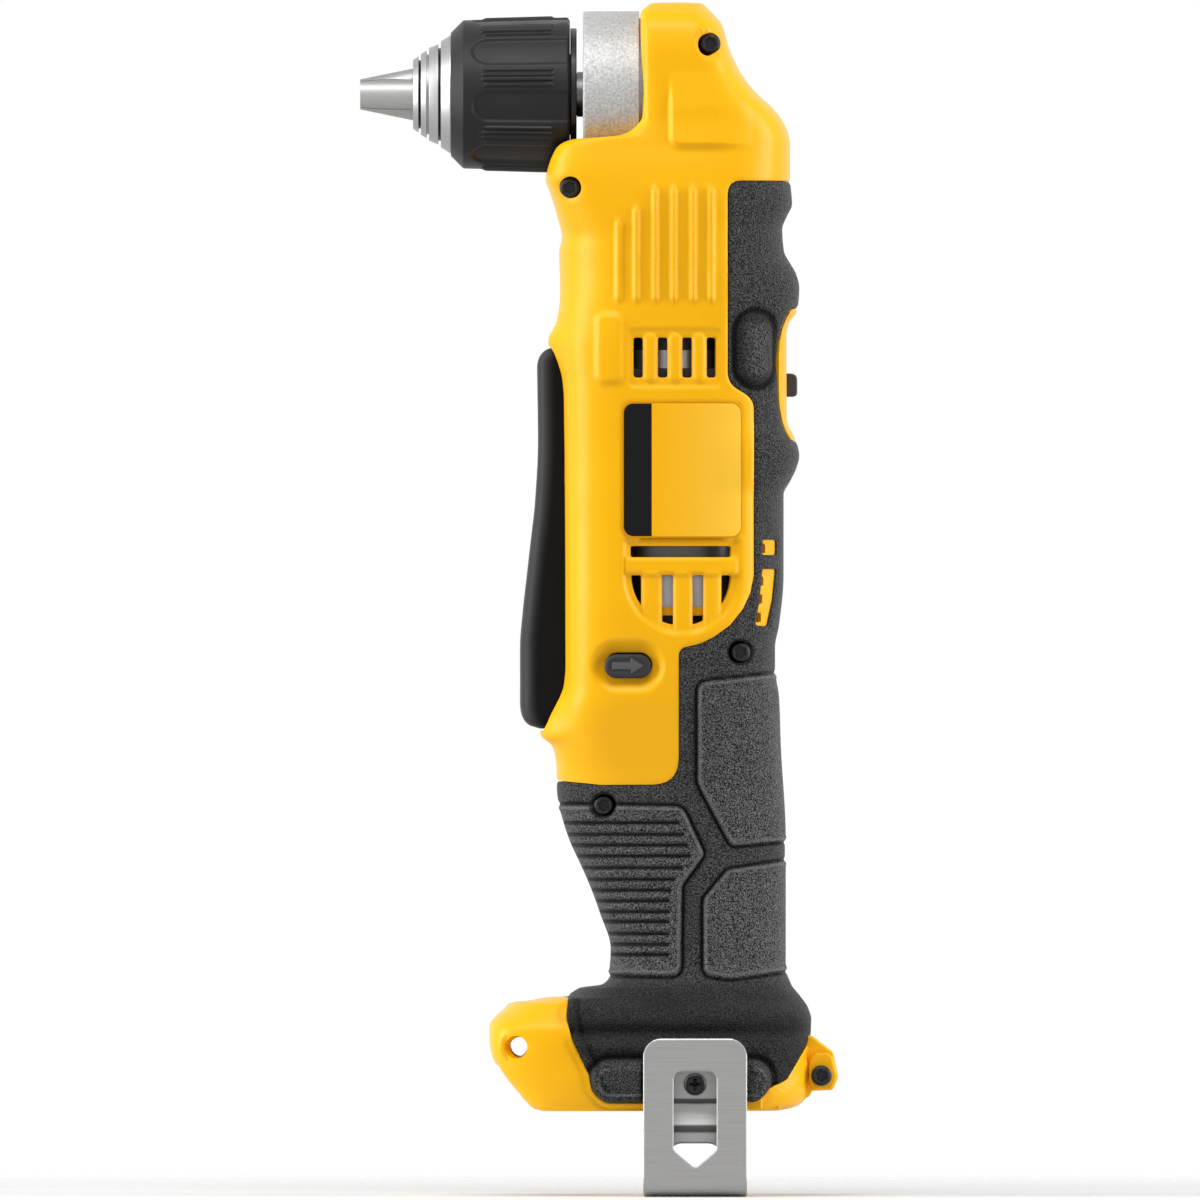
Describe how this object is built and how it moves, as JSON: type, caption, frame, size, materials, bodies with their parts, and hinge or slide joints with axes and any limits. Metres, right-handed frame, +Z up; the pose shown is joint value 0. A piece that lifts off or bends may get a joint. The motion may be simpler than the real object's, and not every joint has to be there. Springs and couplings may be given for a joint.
{
  "type": "right angle drill",
  "caption": "Right angle cordless drill without its battery: slim handle with paddle switch, bevel gear head, keyless jaw chuck, speed selector, reversing button and steel belt hook.",
  "frame": {"origin": "middle of the battery face under the foot, on the motor axis and the parting plane of the housing", "axes": "+Z up the handle along the motor axis, -X the way the chuck points, -Y the side with the belt hook"},
  "size_m": [0.1065, 0.0641, 0.2649],
  "materials": {
    "yellow_shell": "fine moulded grain",
    "soft_grip": "leather grain",
    "label_film": "plain printed film",
    "black_screw": "black oxide",
    "hook_steel": "brushed",
    "brass": "plain",
    "clear_lens": "clear",
    "green_board": "solder mask",
    "black_nylon": "glass filled nylon",
    "copper": "plain",
    "red_lead": "insulated wire",
    "gloss_black": "polished",
    "grey_plastic": "fine grain",
    "ivory_plastic": "plain",
    "bright_steel": "turned",
    "gear_steel": "sintered",
    "ferrite": "sintered",
    "carbon": "pressed carbon",
    "cast_aluminium": "bead blasted",
    "chuck_black": "ribbed moulding"
  },
  "bodies": {
    "housing": {"left_housing": "yellow_shell", "right_housing": "yellow_shell", "left_grip": "soft_grip", "right_grip": "soft_grip", "left_label": "label_film", "right_label": "label_film", "housing_screws": "black_screw", "belt_hook": "hook_steel", "belt_hook_screw": "black_screw", "hook_nuts": "brass", "work_light_lens": "clear_lens", "work_light_board": "green_board", "terminal_block": "black_nylon", "terminal_blades": "copper", "battery_leads": "red_lead", "motor_leads": "red_lead", "trigger_pivot_pin": "bright_steel", "trigger_switch": "black_nylon", "switch_heat_sink": "cast_aluminium", "selector_plate": "yellow_shell", "motor_can": "bright_steel", "motor_magnets": "ferrite", "motor_end_bell": "black_nylon", "motor_front_plate": "bright_steel", "brush_holders": "brass", "carbon_brushes": "carbon", "brush_springs": "bright_steel", "motor_mount_plate": "bright_steel", "gearbox_sleeve": "black_nylon", "first_ring_gear": "gear_steel", "gear_case": "cast_aluminium", "bearings": "bright_steel"},
    "armature": {"armature_shaft": "bright_steel", "armature_core": "gear_steel", "armature_windings": "copper", "commutator": "copper", "cooling_fan": "black_nylon", "motor_pinion": "gear_steel"},
    "first_carrier": {"first_carrier": "gear_steel"},
    "first_planet_a": {"first_planet_a": "gear_steel"},
    "first_planet_b": {"first_planet_b": "gear_steel"},
    "first_planet_c": {"first_planet_c": "gear_steel"},
    "second_carrier": {"second_carrier": "gear_steel", "bevel_pinion": "gear_steel"},
    "second_planet_a": {"second_planet_a": "gear_steel"},
    "second_planet_b": {"second_planet_b": "gear_steel"},
    "second_planet_c": {"second_planet_c": "gear_steel"},
    "spindle": {"output_spindle": "bright_steel", "bevel_crown_gear": "gear_steel", "chuck_body": "bright_steel"},
    "sleeve": {"chuck_sleeve": "chuck_black"},
    "jaw_a": {"chuck_jaw_a": "bright_steel"},
    "jaw_b": {"chuck_jaw_b": "bright_steel"},
    "jaw_c": {"chuck_jaw_c": "bright_steel"},
    "trigger": {"trigger_paddle": "gloss_black"},
    "plunger": {"switch_plunger": "ivory_plastic"},
    "reverser": {"reversing_button": "grey_plastic"},
    "selector": {"speed_selector": "grey_plastic", "shift_link": "bright_steel", "shift_ring": "gear_steel"}
  },
  "joints": [
    {"name": "spindle_spin", "type": "hinge", "parent": "housing", "child": "spindle", "pos_m": [0, 0, 0.226], "axis": [-1, 0, 0], "continuous": true},
    {"name": "armature_spin", "type": "hinge", "parent": "housing", "child": "armature", "pos_m": [0, 0, 0.14], "axis": [0, 0, 1], "continuous": true},
    {"name": "first_carrier_spin", "type": "hinge", "parent": "housing", "child": "first_carrier", "pos_m": [0, 0, 0.182], "axis": [0, 0, 1], "continuous": true},
    {"name": "second_carrier_spin", "type": "hinge", "parent": "housing", "child": "second_carrier", "pos_m": [0, 0, 0.196], "axis": [0, 0, 1], "continuous": true},
    {"name": "first_planet_a_spin", "type": "hinge", "parent": "first_carrier", "child": "first_planet_a", "pos_m": [0.0105, 0, 0.175], "axis": [0, 0, 1], "continuous": true},
    {"name": "first_planet_b_spin", "type": "hinge", "parent": "first_carrier", "child": "first_planet_b", "pos_m": [-0.00525, 0.00909, 0.175], "axis": [0, 0, 1], "continuous": true},
    {"name": "first_planet_c_spin", "type": "hinge", "parent": "first_carrier", "child": "first_planet_c", "pos_m": [-0.00525, -0.00909, 0.175], "axis": [0, 0, 1], "continuous": true},
    {"name": "second_planet_a_spin", "type": "hinge", "parent": "second_carrier", "child": "second_planet_a", "pos_m": [0.0126, 0, 0.189], "axis": [0, 0, 1], "continuous": true},
    {"name": "second_planet_b_spin", "type": "hinge", "parent": "second_carrier", "child": "second_planet_b", "pos_m": [-0.0063, 0.01091, 0.189], "axis": [0, 0, 1], "continuous": true},
    {"name": "second_planet_c_spin", "type": "hinge", "parent": "second_carrier", "child": "second_planet_c", "pos_m": [-0.0063, -0.01091, 0.189], "axis": [0, 0, 1], "continuous": true},
    {"name": "sleeve_turn", "type": "hinge", "parent": "spindle", "child": "sleeve", "pos_m": [-0.035, 0, 0.226], "axis": [-1, 0, 0], "range_deg": [0, 2461]},
    {"name": "jaw_a_slide", "type": "slide", "parent": "spindle", "child": "jaw_a", "axis": [0.9732, 0.115, -0.1992], "range_m": [0, 0.0205]},
    {"name": "jaw_b_slide", "type": "slide", "parent": "spindle", "child": "jaw_b", "axis": [0.9732, 0.115, 0.1992], "range_m": [0, 0.02052]},
    {"name": "jaw_c_slide", "type": "slide", "parent": "spindle", "child": "jaw_c", "axis": [0.9732, -0.23, 0], "range_m": [0, 0.02052]},
    {"name": "trigger_press", "type": "hinge", "parent": "housing", "child": "trigger", "pos_m": [-0.0208, 0, 0.1618], "axis": [0, -1, 0], "range_deg": [0, 4.5], "stiffness_Nm_per_rad": 4, "springref_deg": -2.86},
    {"name": "plunger_slide", "type": "slide", "parent": "housing", "child": "plunger", "axis": [1, 0, 0], "range_m": [0, 0.006]},
    {"name": "reverse_slide", "type": "slide", "parent": "housing", "child": "reverser", "axis": [0, 1, 0], "range_m": [-0.0025, 0.0025]},
    {"name": "speed_shift", "type": "slide", "parent": "housing", "child": "selector", "axis": [0, 0, 1], "range_m": [0, 0.005]}
  ],
  "couplings": [
    {"joint": "armature_spin", "follows": "spindle_spin", "ratio": 30},
    {"joint": "first_carrier_spin", "follows": "spindle_spin", "ratio": 6},
    {"joint": "second_carrier_spin", "follows": "spindle_spin", "ratio": 2},
    {"joint": "first_planet_a_spin", "follows": "spindle_spin", "ratio": -16},
    {"joint": "second_planet_a_spin", "follows": "spindle_spin", "ratio": -8},
    {"joint": "sleeve_turn", "follows": "jaw_a_slide", "rad_per_m": 2094.4},
    {"joint": "first_planet_b_spin", "follows": "spindle_spin", "ratio": -16},
    {"joint": "second_planet_b_spin", "follows": "spindle_spin", "ratio": -8},
    {"joint": "jaw_b_slide", "follows": "jaw_a_slide", "ratio": 1},
    {"joint": "first_planet_c_spin", "follows": "spindle_spin", "ratio": -16},
    {"joint": "second_planet_c_spin", "follows": "spindle_spin", "ratio": -8},
    {"joint": "jaw_c_slide", "follows": "jaw_a_slide", "ratio": 1},
    {"joint": "plunger_slide", "follows": "trigger_press", "m_per_rad": 0.0706}
  ]
}
